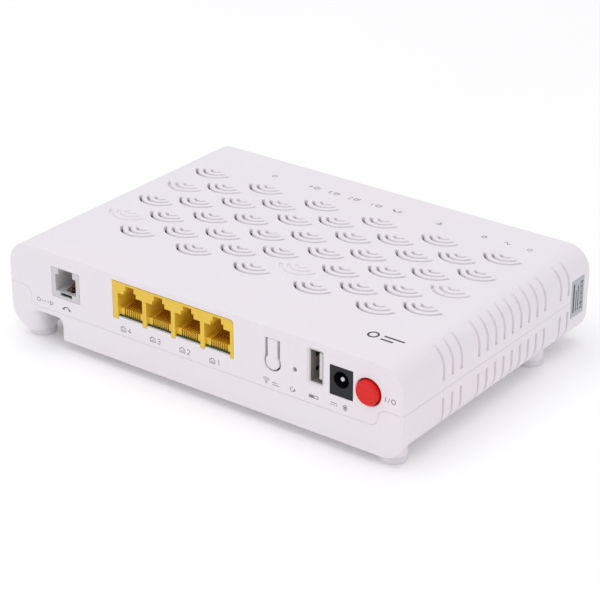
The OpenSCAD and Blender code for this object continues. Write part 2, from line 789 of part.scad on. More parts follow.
module left_antenna_lead() color("#3c3c40") place()
    antenna_lead([[44.6, 77], [42, 90], [-30, 97], [-76, 80], [-87.8, 75]]);

module right_antenna_lead() color("#3c3c40") place()
    antenna_lead([[75.3, 72], [80, 70], [87.8, 71]]);

// ---- labels ----

module side_label() color("#b9bcc4") place()
    box(half_w - 0.12, half_w, 113.8, 123, 11.7, 27.3);

module rating_label() color("#e9e9ec") place()
    box(8.3, 71.7, 82.3, 111.7, under_h + 0.1, under_h + 0.3);

top_cover();
port_panel();
bottom_shell();
foot_pads();
case_screws();
main_board();
board_screws();
ethernet_jack();
ethernet_contacts();
phone_jack();
phone_contacts();
usb_shell();
usb_tongue();
usb_contacts();
power_jack();
power_jack_pin();
power_jack_spring();
power_button();
power_switch_body();
power_switch_stem();
power_switch_spring();
wlan_key();
wlan_switch_body();
wlan_switch_plunger();
reset_switch_body();
reset_switch_plunger();
fibre_adapter();
fibre_sleeve();
optical_module();
optical_shield();
main_processor();
thermal_pad();
heat_sink();
memory_chip();
flash_chip();
wlan_shield();
lan_transformers();
phone_line_chip();
power_coils();
capacitors();
status_leds();
light_guide();
left_antenna();
right_antenna();
left_antenna_lead();
right_antenna_lead();
side_label();
rating_label();
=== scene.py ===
import math

import bmesh
import bpy
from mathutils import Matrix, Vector


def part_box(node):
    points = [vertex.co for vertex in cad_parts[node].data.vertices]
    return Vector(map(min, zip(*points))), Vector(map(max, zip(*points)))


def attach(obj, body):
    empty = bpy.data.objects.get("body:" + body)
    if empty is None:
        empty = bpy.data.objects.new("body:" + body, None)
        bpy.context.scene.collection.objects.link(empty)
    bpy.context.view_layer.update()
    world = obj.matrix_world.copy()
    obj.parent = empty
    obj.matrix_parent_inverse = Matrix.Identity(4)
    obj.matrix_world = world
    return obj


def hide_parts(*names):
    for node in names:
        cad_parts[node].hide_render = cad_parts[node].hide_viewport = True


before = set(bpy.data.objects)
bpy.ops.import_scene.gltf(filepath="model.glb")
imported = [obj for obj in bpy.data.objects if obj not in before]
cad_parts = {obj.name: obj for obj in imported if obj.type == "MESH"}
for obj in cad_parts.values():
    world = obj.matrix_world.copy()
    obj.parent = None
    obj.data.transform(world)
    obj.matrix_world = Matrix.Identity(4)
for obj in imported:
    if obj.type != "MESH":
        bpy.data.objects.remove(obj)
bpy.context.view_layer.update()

# ---- sizes, in millimetres: x across, d behind the port face, h above its lower edge ----

MM = 0.001
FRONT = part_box("bottom_shell")[0].y
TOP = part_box("top_cover")[1].z
HALF_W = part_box("top_cover")[1].x / MM
CASE_D = (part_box("top_cover")[1].y - FRONT) / MM
CASE_H = 36.7
BASE = TOP - CASE_H * MM
PRINT_T = 0.03          # thickness of the printing, which brings it level with the CAD top
SINK = 0.01             # how far the printing starts below its surface
SKIN = CASE_H - PRINT_T
WALL = 2.2
UNDER_H = 1.2           # underside of the tray
TOP_R, LOW_R, FAR_R = 10, 9, 3
SEAM_H, SEAM_GAP = 18.8, 0.06
APRON_H, STEP_R, STEP_X = 11.5, 3.65, 78.7
KEY_X, KEY_H, HINGE_H = 36.2, 22.6, 31.8
BUTTON_X, BUTTON_H = 78.3, 24
BAY_X, BAY_D, BAY_H, BAY_WALL = (-78.4, -66.3), 36, 16.7, 1.4
TURN_X, TURN_R = -84.1, 5.6
JACK_LOW = 18.1
LAN_X, LAN_TOP = (-39.7, 18.31), 33.7
PORT_X, PORT_HALF = [-31.1 + 13.97 * i for i in range(4)], 6    # middles and half width of the ports
PHONE_X, PHONE_TOP = (-71.1, -56.7), 30.7
POWER_X, POWER_TOP = (61.6, 71.7), 29.9
USB_X, USB_H = (52.3, 58.3), (19.75, 33.1)
RESET_X, RESET_H = 46.2, 22.7
VENT_PITCH_X, VENT_PITCH_D = 28.4, 18
VENT_SLOT, VENT_TURN, VENT_RADII, VENT_BLIND = 1.15, 68, (2.6, 5.7, 8.8), 0.6
GROOVE_D = [25.3 + 5.75 * k for k in range(16) if k not in (3, 13)]
LABEL_D, LABEL_H, LABEL_DEEP = (113.6, 123.2), (11.5, 27.5), 0.12
LED_X = [-48.3, -28, -18, -8, 2.8, 13, 33.5, 54.3, 64.8, 75]
FOOT_AT = [(s * 84.1, d) for s in (-1, 1) for d in (7.7, 100)]
CASE_SCREWS = [(-48, 10), (25.5, 10), (-80, 114), (80, 114)]
BOARD_SCREWS = [(-84, 50), (84, 26), (-84, 86), (84, 86)]


def at(x, d, h):
    return Vector((x * MM, FRONT + d * MM, BASE + h * MM))


# ---- outlines in two dimensions; grow moves each one outward ----


def arc(cx, cy, r, a0, a1, steps):
    turn = [math.radians(a0 + (a1 - a0) * i / steps) for i in range(steps + 1)]
    return [(cx + r * math.cos(a), cy + r * math.sin(a)) for a in turn]


def disc(x, y, r, steps):
    return lambda grow: arc(x, y, r + grow, 0, 360, steps)[:-1]


def block(x0, x1, y0, y1, r=0, steps=5):
    def outline(grow):
        a, b, c, d = x0 - grow, x1 + grow, y0 - grow, y1 + grow
        if r == 0:
            return [(b, d), (a, d), (a, c), (b, c)]
        q = max(r + grow, 0.02)
        return (arc(b - q, d - q, q, 0, 90, steps) + arc(a + q, d - q, q, 90, 180, steps)
                + arc(a + q, c + q, q, 180, 270, steps) + arc(b - q, c + q, q, 270, 360, steps))
    return outline


def arc_slot(x, d, r, half, turn):
    def outline(grow):
        wide = turn + math.degrees(grow / r)
        return (arc(x, d, r + half + grow, -90 - wide, -90 + wide, 14)
                + arc(x, d, r - half - grow, -90 + wide, -90 - wide, 14))
    return outline


def keyhole(x, y, r, slot_r, reach):
    """A round hole with a round-ended slot that runs reach towards larger y."""
    def outline(grow):
        big, small = r + grow, slot_r + grow
        a = math.degrees(math.asin(small / big))
        return arc(x, y, big, 90 + a, 450 - a, 32) + arc(x, y + reach, small, 0, 180, 14)
    return outline


def key_outline(r, arm, top):
    """The wireless key's outline: a round pad on an arm of the given half width."""
    def outline(grow):
        big, half = r + grow, arm + grow
        a = math.degrees(math.acos(half / big))
        points = arc(KEY_X, KEY_H, big, a, -180 - a, 36)
        return points + [(KEY_X - half, top + grow), (KEY_X + half, top + grow)]
    return outline


# ---- solids ----

PLACE = {
    "d": lambda level, p: (p[0], level, p[1]),
    "h": lambda level, p: (p[0], p[1], level),
    "x": lambda level, p: (level, p[0], p[1]),
}


class Solid:
    """Closed lofts gathered into one mesh."""

    def __init__(self):
        self.points, self.faces = [], []

    def loft(self, rings, closed=False):
        first, n = len(self.points), len(rings[0])
        for ring in rings:
            self.points += [at(*p) for p in ring]
        for k in range(len(rings) - (0 if closed else 1)):
            a, b = first + k * n, first + (k + 1) % len(rings) * n
            self.faces += [(a + i, a + (i + 1) % n, b + (i + 1) % n, b + i) for i in range(n)]
        if not closed:
            last = first + (len(rings) - 1) * n
            self.faces += [tuple(range(first, first + n)), tuple(range(last, last + n))]
        return self

    def prism(self, axis, outline, levels):
        """A prism along an axis; levels are (place, grow) pairs."""
        return self.loft([[PLACE[axis](level, p) for p in outline(grow)] for level, grow in levels])

    def box(self, x0, x1, d0, d1, h0, h1):
        return self.prism("h", block(x0, x1, d0, d1), [(h0, 0), (h1, 0)])

    def turned(self, axis, x, y, profile, steps=64):
        """A lathe shape about an axis through (x, y); the profile is (radius, level) pairs."""
        return self.loft([[PLACE[axis](level, p) for p in disc(x, y, r, steps)(0)] for r, level in profile])

    def make(self, name):
        mesh = bpy.data.meshes.new(name)
        mesh.from_pydata(self.points, [], self.faces)
        work = bmesh.new()
        work.from_mesh(mesh)
        bmesh.ops.recalc_face_normals(work, faces=work.faces)
        work.to_mesh(mesh)
        work.free()
        piece = bpy.data.objects.new(name, mesh)
        bpy.context.scene.collection.objects.link(piece)
        return piece


def settle(piece):
    """Turns a piece's modifiers into its mesh."""
    graph = bpy.context.evaluated_depsgraph_get()
    mesh = bpy.data.meshes.new_from_object(piece.evaluated_get(graph))
    old = piece.data
    piece.modifiers.clear()
    piece.data = mesh
    bpy.data.meshes.remove(old)
    return piece


def combine(piece, tool, operation="DIFFERENCE"):
    tool = tool.make("tool") if isinstance(tool, Solid) else tool
    step = piece.modifiers.new("step", "BOOLEAN")
    step.object, step.operation, step.solver = tool, operation, "MANIFOLD"
    settle(piece)
    bpy.data.objects.remove(tool)
    return piece


def tidy_mesh(piece, merge=0.004, flat=0.3):
    work = bmesh.new()
    work.from_mesh(piece.data)
    bmesh.ops.remove_doubles(work, verts=work.verts, dist=merge * MM)
    bmesh.ops.dissolve_limit(work, angle_limit=math.radians(flat), verts=work.verts, edges=work.edges)
    work.to_mesh(piece.data)
    work.free()


def finished(piece, body, slot, stands_for=(), sharp=50, weighted=True):
    """Smooths a piece, gives it its finish, ties it to its body and hides the CAD nodes it stands for."""
    for polygon in piece.data.polygons:
        polygon.use_smooth = True
    piece.data.set_sharp_from_angle(angle=math.radians(sharp))
    if weighted:
        normals = piece.modifiers.new("normals", "WEIGHTED_NORMAL")
        normals.keep_sharp = True
    piece.data.materials.clear()
    piece.data.materials.append(FINISH[slot])
    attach(piece, body)
    if stands_for:
        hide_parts(*stands_for)
    return piece


def softened(node, slot, width):
    """A copy of a CAD node of the casing's body with every sharp edge rounded."""
    piece = bpy.data.objects.new(node + "_soft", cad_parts[node].data.copy())
    bpy.context.scene.collection.objects.link(piece)
    tidy_mesh(piece)
    edge = piece.modifiers.new("edges", "BEVEL")
    edge.width, edge.segments, edge.limit_method = width * MM, 2, "ANGLE"
    edge.angle_limit, edge.use_clamp_overlap = math.radians(38), False
    edge.miter_outer = "MITER_ARC"
    settle(piece)
    return finished(piece, "casing", slot, (node,))


# ---- finishes ----


def linear(*rgb):
    return [c / 255 / 12.92 if c <= 10 else ((c / 255 + 0.055) / 1.055) ** 2.4 for c in rgb]


class Graph:
    """A small helper for building a material's nodes."""

    def __init__(self, name):
        self.material = bpy.data.materials.new(name)
        self.material.use_nodes = True
        self.tree = self.material.node_tree
        self.shader = self.tree.nodes["Principled BSDF"]
        self.place = self.add("ShaderNodeTexCoord").outputs["Object"]

    def add(self, kind, **values):
        node = self.tree.nodes.new(kind)
        for key, value in values.items():
            setattr(node, key, value)
        return node

    def link(self, source, target):
        self.tree.links.new(source, target)

    def noise(self, scale, detail=3, rough=0.5, stretch=(1, 1, 1)):
        spread = self.add("ShaderNodeMapping")
        spread.inputs["Scale"].default_value = stretch
        self.link(self.place, spread.inputs["Vector"])
        node = self.add("ShaderNodeTexNoise")
        self.link(spread.outputs["Vector"], node.inputs["Vector"])
        for key, value in (("Scale", scale), ("Detail", detail), ("Roughness", rough)):
            node.inputs[key].default_value = value
        return node.outputs["Fac"]

    def steps(self, source, stops):
        ramp = self.add("ShaderNodeValToRGB")
        while len(ramp.color_ramp.elements) < len(stops):
            ramp.color_ramp.elements.new(0.5)
        for element, (place, colour) in zip(ramp.color_ramp.elements, stops):
            element.position, element.color = place, (*colour, 1)
        self.link(source, ramp.inputs["Fac"])
        return ramp.outputs["Color"]

    def between(self, source, low, high):
        node = self.add("ShaderNodeMapRange")
        for key, value in (("From Min", 0.3), ("From Max", 0.7), ("To Min", low), ("To Max", high)):
            node.inputs[key].default_value = value
        self.link(source, node.inputs["Value"])
        return node.outputs["Result"]

    def mixed(self, factor, a, b, mode="MIX"):
        node = self.add("ShaderNodeMix", data_type="RGBA", blend_type=mode)
        for socket, value in ((0, factor), (6, a), (7, b)):
            if isinstance(value, (int, float)):
                node.inputs[socket].default_value = value
            elif isinstance(value, (list, tuple)):
                node.inputs[socket].default_value = (*value, 1)
            else:
                self.link(value, node.inputs[socket])
        return node.outputs[2]

    def bump(self, height, depth, below=None):
        node = self.add("ShaderNodeBump")
        node.inputs["Distance"].default_value = depth * MM
        self.link(height, node.inputs["Height"])
        if below:
            self.link(below, node.inputs["Normal"])
        return node.outputs["Normal"]


def surface(slot, rgb, rough=0.5, metallic=0.0, grain=1500, depth=0.008, vary=0.035, patch=28,
            rough_vary=0.06, stretch=(1, 1, 1), worn=None, **fixed):
    """A moulded, plated or painted finish: mottled colour, uneven gloss and a fine grain."""
    g = Graph(slot)
    base = linear(*rgb)
    cool = [c * (1 - vary) for c in base]
    warm = [min(1, base[0] * (1 + vary)), base[1], base[2] * (1 - vary * 0.8)]
    colour = g.steps(g.noise(patch, 4, 0.55), [(0.32, cool), (0.5, base), (0.7, warm)])
    speck = g.steps(g.noise(grain * 0.35, 2, 0.6, stretch), [(0.3, [1 - vary * 1.2] * 3), (0.55, [1, 1, 1])])
    colour = g.mixed(1.0, colour, speck, "MULTIPLY")
    if worn:
        wear = g.steps(g.noise(patch * 5, 6, 0.7), [(0.62, [0, 0, 0]), (0.72, [1, 1, 1])])
        colour = g.mixed(wear, colour, linear(*worn))
    g.link(colour, g.shader.inputs["Base Color"])
    g.link(g.between(g.noise(patch * 4, 5, 0.6), rough - rough_vary, rough + rough_vary),
           g.shader.inputs["Roughness"])
    fine = g.bump(g.noise(grain, 3, 0.6, stretch), depth)
    g.link(g.bump(g.noise(patch * 3, 2, 0.4), depth * 1.5, fine), g.shader.inputs["Normal"])
    g.shader.inputs["Metallic"].default_value = metallic
    for key, value in fixed.items():
        g.shader.inputs[key.replace("_", " ")].default_value = value
    return g.material


def board(slot, rgb, track_rgb):
    """Solder mask over copper, with lands a lighter green than the bare mask."""
    g = Graph(slot)
    mask, track = linear(*rgb), linear(*track_rgb)
    tiles = g.add("ShaderNodeTexVoronoi", distance="CHEBYCHEV")
    tiles.inputs["Scale"].default_value = 420
    g.link(g.place, tiles.inputs["Vector"])
    land = g.steps(tiles.outputs["Distance"], [(0.18, track), (0.24, mask)])
    weave = g.steps(g.noise(2600, 2, 0.5, (1, 6, 1)), [(0.35, [0.86] * 3), (0.65, [1, 1, 1])])
    g.link(g.mixed(1.0, land, weave, "MULTIPLY"), g.shader.inputs["Base Color"])
    g.link(g.between(g.noise(90, 4), 0.24, 0.42), g.shader.inputs["Roughness"])
    g.link(g.bump(tiles.outputs["Distance"], 0.02), g.shader.inputs["Normal"])
    return g.material


FINISH = {
    "casing_white": surface("casing_white", (241, 235, 241), 0.46, grain=2100, depth=0.006, vary=0.012,
                            patch=16, rough_vary=0.05),
    "foot_white": surface("foot_white", (233, 229, 234), 0.62, grain=1700, depth=0.012, vary=0.02, patch=60),
    "screw_steel": surface("screw_steel", (150, 152, 156), 0.34, 1.0, grain=2600, depth=0.004,
                           stretch=(1, 1, 6), vary=0.06),
    "board_green": board("board_green", (10, 66, 30), (28, 92, 50)),
    "jack_yellow": surface("jack_yellow", (240, 200, 62), 0.38, grain=1900, depth=0.006, vary=0.03,
                           patch=50),
    "contact_gold": surface("contact_gold", (214, 160, 66), 0.28, 1.0, grain=3200, depth=0.002, patch=300,
                            stretch=(6, 1, 1), vary=0.08),
    "jack_grey": surface("jack_grey", (212, 209, 213), 0.42, grain=1900, depth=0.006, vary=0.025, patch=60),
    "shell_steel": surface("shell_steel", (206, 204, 200), 0.34, 0.7, grain=2400, depth=0.003,
                           stretch=(1, 8, 1), vary=0.05, patch=90, worn=(168, 166, 160)),
    "tongue_white": surface("tongue_white", (226, 222, 224), 0.45, grain=2200, depth=0.004, vary=0.03,
                            patch=80),
    "jack_black": surface("jack_black", (22, 21, 24), 0.42, grain=1800, depth=0.008, vary=0.10, patch=60,
                          Specular_IOR_Level=0.35),
    "pin_nickel": surface("pin_nickel", (196, 198, 202), 0.22, 1.0, grain=2800, depth=0.002,
                          stretch=(1, 5, 1), vary=0.04),
    "button_red": surface("button_red", (228, 18, 10), 0.42, grain=1800, depth=0.008, vary=0.05, patch=70,
                          Specular_IOR_Level=0.35),
    "switch_black": surface("switch_black", (38, 38, 41), 0.5, grain=1500, depth=0.012, vary=0.08),
    "stem_white": surface("stem_white", (226, 222, 218), 0.5, grain=1500, depth=0.01, vary=0.04),
    "spring_steel": surface("spring_steel", (170, 172, 176), 0.25, 1.0, grain=3000, depth=0.002,
                            stretch=(1, 1, 5), vary=0.05),
    "adapter_green": surface("adapter_green", (38, 146, 78), 0.42, grain=1700, depth=0.01, vary=0.05),
    "ceramic_white": surface("ceramic_white", (240, 238, 230), 0.18, grain=2600, depth=0.003, vary=0.02),
    "module_gold": surface("module_gold", (200, 164, 88), 0.3, 1.0, grain=2200, depth=0.004, vary=0.07,
                           stretch=(1, 6, 1), worn=(176, 148, 90)),
    "shield_tin": surface("shield_tin", (196, 198, 200), 0.36, 1.0, grain=1600, depth=0.006, vary=0.06,
                          stretch=(5, 1, 1), worn=(170, 172, 172)),
    "chip_black": surface("chip_black", (34, 35, 38), 0.58, grain=1400, depth=0.02, vary=0.12),
    "pad_blue": surface("pad_blue", (132, 168, 190), 0.75, grain=900, depth=0.03, vary=0.08),
    "sink_aluminium": surface("sink_aluminium", (184, 187, 190), 0.38, 1.0, grain=1300, depth=0.01,
                              stretch=(1, 8, 1), vary=0.06),
    "coil_grey": surface("coil_grey", (66, 63, 60), 0.66, grain=1100, depth=0.03, vary=0.14),
    "capacitor_sleeve": surface("capacitor_sleeve", (38, 50, 82), 0.28, grain=1500, depth=0.006, vary=0.06),
    "led_clear": surface("led_clear", (236, 242, 208), 0.2, grain=1500, depth=0.006, vary=0.05,
                         Transmission_Weight=0.35),
    "guide_clear": surface("guide_clear", (222, 234, 238), 0.14, grain=1500, depth=0.005, vary=0.03,
                           Transmission_Weight=0.85, IOR=1.49),
    "lead_black": surface("lead_black", (40, 40, 43), 0.5, grain=1700, depth=0.012, vary=0.10),
    "label_silver": surface("label_silver", (190, 191, 197), 0.45, 0.2, grain=1700, depth=0.004, vary=0.05,
                            stretch=(1, 1, 9)),
    "label_white": surface("label_white", (232, 231, 233), 0.48, grain=1500, depth=0.005, vary=0.02),
}
PRINT_GREY = surface("print_grey", (128, 128, 136), 0.6, grain=3000, depth=0.004, vary=0.09, patch=200)
PRINT_DARK = surface("print_dark", (70, 70, 76), 0.6, grain=3000, depth=0.004, vary=0.10, patch=200)

# Every CAD node takes the finish that its slot names
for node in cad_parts.values():
    for holder in node.material_slots:
        holder.material = FINISH[holder.material.name.split(".")[0]]


# ---- casing ----


def case_ring(inset, base, d):
    half, low, high = HALF_W - inset, base + inset, SKIN - inset
    rt, rb = TOP_R - inset, LOW_R - inset
    points = (arc(half - rt, high - rt, rt, 0, 90, 18) + arc(rt - half, high - rt, rt, 90, 180, 18)
              + arc(rb - half, low + rb, rb, 180, 270, 16) + arc(half - rb, low + rb, rb, 270, 360, 16))
    return [(x, d, h) for x, h in points]


def case_loft(inset, base, d0, d1, near, far):
    """The casing's outline between two depths, with rounds of radius near and far at its ends."""
    rings = []
    for k in range(6):
        t = math.radians(18 * k)
        rings.append(case_ring(inset + near * (1 - math.sin(t)), base, d0 + near * (1 - math.cos(t))))
    for k in range(11):
        t = math.radians(9 * k)
        rings.append(case_ring(inset + far * (1 - math.cos(t)), base, d1 - far + far * math.sin(t)))
    return Solid().loft(rings)


def apron_line(gap, outer):
    """The seam across the port face, from left to right."""
    mid, far = APRON_H + STEP_R, STEP_X + 2 * STEP_R
    right = (arc(STEP_X, mid, STEP_R + gap, -90, 0, 14) + arc(far, mid, STEP_R - gap, 180, 90, 14)
             + [(far + 0.3, outer), (HALF_W + 1.5, outer)])
    return [(-x, h) for x, h in reversed(right)] + right


def upper_region(gap, outer):
    """Everything above the seam."""
    line = apron_line(gap, outer)
    outline = line + [(HALF_W + 1.5, 60), (-HALF_W - 1.5, 60)]
    region = Solid().prism("d", lambda grow: outline, [(-2, 0), (WALL, 0)]).make("region")
    return combine(region, Solid().box(-HALF_W - 1.5, HALF_W + 1.5, 1, CASE_D + 5, outer, 60), "UNION")


def seam_groove():
    """A fine V along the seam that rounds both of its edges."""
    w, out, deep = 0.2, 0.4, 0.14
    line = apron_line(SEAM_GAP / 2, SEAM_H)
    rings = []
    for k, (x, h) in enumerate(line):
        x0, h0 = line[max(k - 1, 0)]
        x1, h1 = line[min(k + 1, len(line) - 1)]
        size = math.hypot(x1 - x0, h1 - h0)
        sx, sh = (h0 - h1) / size, (x1 - x0) / size
        rings.append([(x, -out, h), (x + sx * w * 2, -out, h + sh * w * 2), (x + sx * w, 0, h + sh * w),
                      (x, deep, h), (x - sx * w, 0, h - sh * w), (x - sx * w * 2, -out, h - sh * w * 2)])
    front = Solid().loft(rings)
    # Round the sides and the far face: each entry is a point and the way it faces
    r = FAR_R
    right = zip(arc(HALF_W - r, CASE_D - r, r, 0, 90, 10), range(0, 91, 9))
    left = zip(arc(r - HALF_W, CASE_D - r, r, 90, 180, 10), range(90, 181, 9))
    rings = []
    for (x, d), a in (((HALF_W, -1), 0), *right, *left, ((-HALF_W, -1), 180)):
        c, s = math.cos(math.radians(a)), math.sin(math.radians(a))
        rings.append([(x + c * u, d + s * u, SEAM_H + v)
                      for u, v in ((out, -2 * w), (0, -w), (-deep, 0), (0, w), (out, 2 * w))])
    return front, Solid().loft(rings)


def side_grooves(h0, corner_h, r, sign, fade):
    """Grooves along both sides, from h0 round the corner to the angle at which they fade out.

    The corner has radius r and starts at corner_h; sign is 1 above the seam and -1 below it.
    """
    grooves = Solid()
    half, flare, out, full = 0.72, 0.2, 0.5, 0.95
    turns = [fade * i / 16 for i in range(17)]
    path = [(0, h0)] + [(a, corner_h + sign * r * math.sin(math.radians(a))) for a in turns]
    for d in GROOVE_D:
        for side in (-1, 1):
            rings = []
            for a, y in path:
                c, s = math.cos(math.radians(a)), math.sin(math.radians(a))
                deep = full * (1 - (a / fade) ** 6)
                f = min(flare, max(deep, 0))
                x = HALF_W - r + r * c
                section = [(out, -half - f), (0, -half - f), (-f, -half), (-deep, -half),
                           (-deep, half), (-f, half), (0, half + f), (out, half + f)]
                rings.append([(side * (x + c * u), d + v, y + sign * s * u) for u, v in section])
            grooves.loft(rings)
    return grooves


def label_outline(gap):
    """The side label's outline, drawn in by a gap from the edge of its pocket."""
    return block(LABEL_D[0] + gap, LABEL_D[1] - gap, LABEL_H[0] + gap, LABEL_H[1] - gap, 0.4)


def side_label_pocket():
    return Solid().prism("x", label_outline(0), [(HALF_W - LABEL_DEEP, 0), (HALF_W + 1, 0)])


def face_cut(outline, flare):
    """A cutter through the port face with a small chamfer at the outside."""
    return Solid().prism("d", outline, [(-1, flare), (0, flare), (flare, 0), (WALL + 1, 0)])


def lan_outline(grow):
    """The Ethernet opening, with the round upper right corner of its socket."""
    gap, r = 0.12, 1.65
    left, right = LAN_X[0] - gap - grow, LAN_X[1] + gap + grow
    low, top = 19.1 - grow, LAN_TOP + 0.2 + grow
    return [(left, low), (right, low)] + arc(right - r, top - r, r, 0, 90, 10) + [(left, top)]


def cut_vents(cover):
    """Arc slots that narrow below the surface, in two staggered grids; two vents are blind."""
    places = [(-71.5 + VENT_PITCH_X * i, 102.9 - VENT_PITCH_D * k, k == 3 and i in (0, 3))
              for k in range(4) for i in range(6)]
    places += [(-57.3 + VENT_PITCH_X * i, 93.1 - VENT_PITCH_D * k, False) for k in range(4) for i in range(5)]
    vents = Solid()
    for x, d, blind in places:
        deep = SKIN - (VENT_BLIND if blind else WALL + 1)
        levels = [(deep, -0.14), (SKIN - 0.7, -0.12), (SKIN - 0.14, 0.05), (SKIN, 0.2), (SKIN + 1, 0.2)]
        for r in VENT_RADII:
            vents.prism("h", arc_slot(x, d, r, VENT_SLOT / 2, VENT_TURN), levels)
    combine(cover, vents)
    # Two of the vents have the cover's ribs close behind them
    for x, d in ((-71.5, 84.9), (70.5, 66.9)):
        rib = Solid().box(x - 9.5, x + 9.5, d - 9.8, d + 1, SKIN - WALL - 0.8, SKIN - 1.5)
        combine(cover, rib, "UNION")


def cut_port_face(cover):
    """Openings for the sockets and the controls."""
    combine(cover, face_cut(lan_outline, 0.1))
    # Slots for the bars between the Ethernet ports and at their two ends
    starts = [LAN_X[0]] + [x + PORT_HALF for x in PORT_X]
    ends = [x - PORT_HALF for x in PORT_X] + [LAN_X[1]]
    for x0, x1 in zip(starts, ends):
        combine(cover, face_cut(block(x0 - 0.1, x1 + 0.1, JACK_LOW, 20, 0.2), 0.06))
    for outline, flare in (
            (block(*PHONE_X, JACK_LOW, PHONE_TOP, 0.25), 0.1),
            (block(*POWER_X, JACK_LOW, POWER_TOP, 0.25), 0.1),
            (block(*USB_X, *USB_H, 0.5), 0.75),
            (disc(BUTTON_X, BUTTON_H, 5.35, 64), 0.25),
            (disc(RESET_X, RESET_H, 0.9, 32), 0.2),
            (key_outline(3.75, 3.3, HINGE_H), 0.22)):
        combine(cover, face_cut(outline, flare))


def make_top_cover():
    cover = case_loft(0, 0, 0, CASE_D, 0.5, FAR_R).make("casing_upper")
    combine(cover, upper_region(0, SEAM_H + SEAM_GAP / 2), "INTERSECT")
    combine(cover, case_loft(WALL, UNDER_H, WALL, CASE_D - WALL, 0.3, 1.2))
    bosses = Solid()
    for x, d in CASE_SCREWS:
        bosses.prism("h", disc(x, d, 3.2, 32), [(13.2, -0.3), (13.5, 0), (CASE_H - 1, 0)])
    combine(cover, bosses, "UNION")
    holes = Solid()
    for x, d in CASE_SCREWS:
        holes.prism("h", disc(x, d, 1.55, 24), [(13, 0.3), (13.5, 0), (27, 0)])
    combine(cover, holes)
    cut_vents(cover)
    combine(cover, side_grooves(22.5, SKIN - TOP_R, TOP_R, 1, 63))
    for groove in seam_groove():
        combine(cover, groove)
    cut_port_face(cover)
    # Lamp windows in the far face
    windows = Solid()
    for x in LED_X:
        windows.prism("d", block(x - 1.6, x + 1.6, 26.1, 27.9, 0.25),
                      [(CASE_D - WALL - 1, 0), (CASE_D - 0.14, 0), (CASE_D, 0.14), (CASE_D + 1, 0.14)])
    combine(cover, windows)
    combine(cover, side_label_pocket())
    tidy_mesh(cover, 0.002, 0.05)
    return finished(cover, "casing", "casing_white", ("top_cover", "port_panel"), sharp=40)


def notch_outline(grow):
    """The fibre notch: its left edge stands where the skirt turns back round the foot."""
    right, top, r = BAY_X[1] + grow, 9.3 + grow, 3 + grow
    return [(TURN_X, -6), (right, -6)] + arc(right - r, top - r, r, 0, 90, 10) + [(TURN_X, top)]


def turn_outline(grow):
    """The skirt's turn back round the left front foot, seen from below."""
    round_part = arc(TURN_X, TURN_R, TURN_R + grow, -90, 0, 18)
    return ([(TURN_X - 1.5, 9.2), (TURN_X - 1.5, max(-grow, 0.02))]
            + [(x, max(d, 0.02)) for x, d in round_part] + [(TURN_X + TURN_R + grow, 9.2)])


def make_lip(d_far):
    """A lip inside the seam, on a tie that joins it to the tray's wall."""
    inner = WALL + 1.15
    lip = case_loft(WALL + 0.15, UNDER_H, 10, CASE_D - WALL - 0.15, 0.05, 1.4).make("lip")
    combine(lip, case_loft(inner, UNDER_H, 9, CASE_D - inner, 0.05, 1.2))
    combine(lip, Solid().box(-100, 100, 10, CASE_D, SEAM_H - 3, SEAM_H + 1.6), "INTERSECT")
    tie = case_loft(WALL - 0.3, UNDER_H, 10, d_far - WALL + 0.3, 0.05, 1.4).make("tie")
    combine(tie, case_loft(inner, UNDER_H, 9, CASE_D - inner, 0.05, 1.2))
    combine(tie, Solid().box(-100, 100, 10.5, CASE_D, SEAM_H - 3.4, SEAM_H - 0.6), "INTERSECT")
    return combine(lip, tie, "UNION")


def add_bay_and_posts(shell):
    """Blocks for the fibre bay, the board's posts, the screw bosses and the foot columns."""
    x0, x1 = BAY_X
    combine(shell, Solid().box(x0 - BAY_WALL, x1 + BAY_WALL, WALL + 0.15, BAY_D + BAY_WALL, UNDER_H + 0.2,
                               BAY_H + BAY_WALL), "UNION")
    combine(shell, Solid().box(x0 - BAY_WALL, x1 + BAY_WALL, WALL - 0.5, WALL + 0.4, UNDER_H + 0.2,
                               APRON_H - 0.5), "UNION")
    posts = Solid()
    for x, d in BOARD_SCREWS:
        posts.prism("h", disc(x, d, 3, 32), [(UNDER_H + 1, 0), (17.9, 0), (18.2, -0.3)])
    for x, d in CASE_SCREWS:
        posts.prism("h", disc(x, d, 4.2, 40), [(UNDER_H + 0.3, 0), (12.7, 0), (13, -0.3)])
    combine(shell, posts, "UNION")
    feet = Solid()
    for x, d in FOOT_AT:
        feet.prism("h", disc(x, d, 5.2, 64), [(-1.2, -0.1), (-1.1, 0), (8, 0)])
    combine(shell, feet, "UNION")


def cut_fibre_bay(shell):
    """The bay's room, the adapter's opening and the notch, with the skirt's turn beside it."""
    x0, x1 = BAY_X
    combine(shell, Solid().box(x0, x1, WALL - 0.2, BAY_D, UNDER_H - 3, BAY_H))
    combine(shell, Solid().box(-77.15, -67.55, BAY_D - 1, BAY_D + BAY_WALL + 1, 3.6, 16.6))
    combine(shell, Solid().prism("d", notch_outline, [(-1, 0.2), (0, 0.2), (0.2, 0), (WALL + 0.02, 0)]))
    combine(shell, Solid().box(TURN_X, x0 + 0.1, -2, TURN_R, -0.5, 9.3))
    turn = [(-0.9, -0.6), (-0.3, -0.35), (0.5, 0)]
    # A short slope that joins the turn to the roof of the notch
    for a in range(0, 76, 15):
        spread = 1.5 * (1 - math.cos(math.radians(a)))
        turn.append((7.85 + spread, spread))
    combine(shell, Solid().prism("h", turn_outline, turn + [(10.8, turn[-1][1])]), "UNION")


def from_below(top):
    """Levels of a hole through the tray's floor, with a small chamfer at the outside."""
    return [(UNDER_H - 1, 0.2), (UNDER_H, 0.2), (UNDER_H + 0.2, 0), (top, 0)]


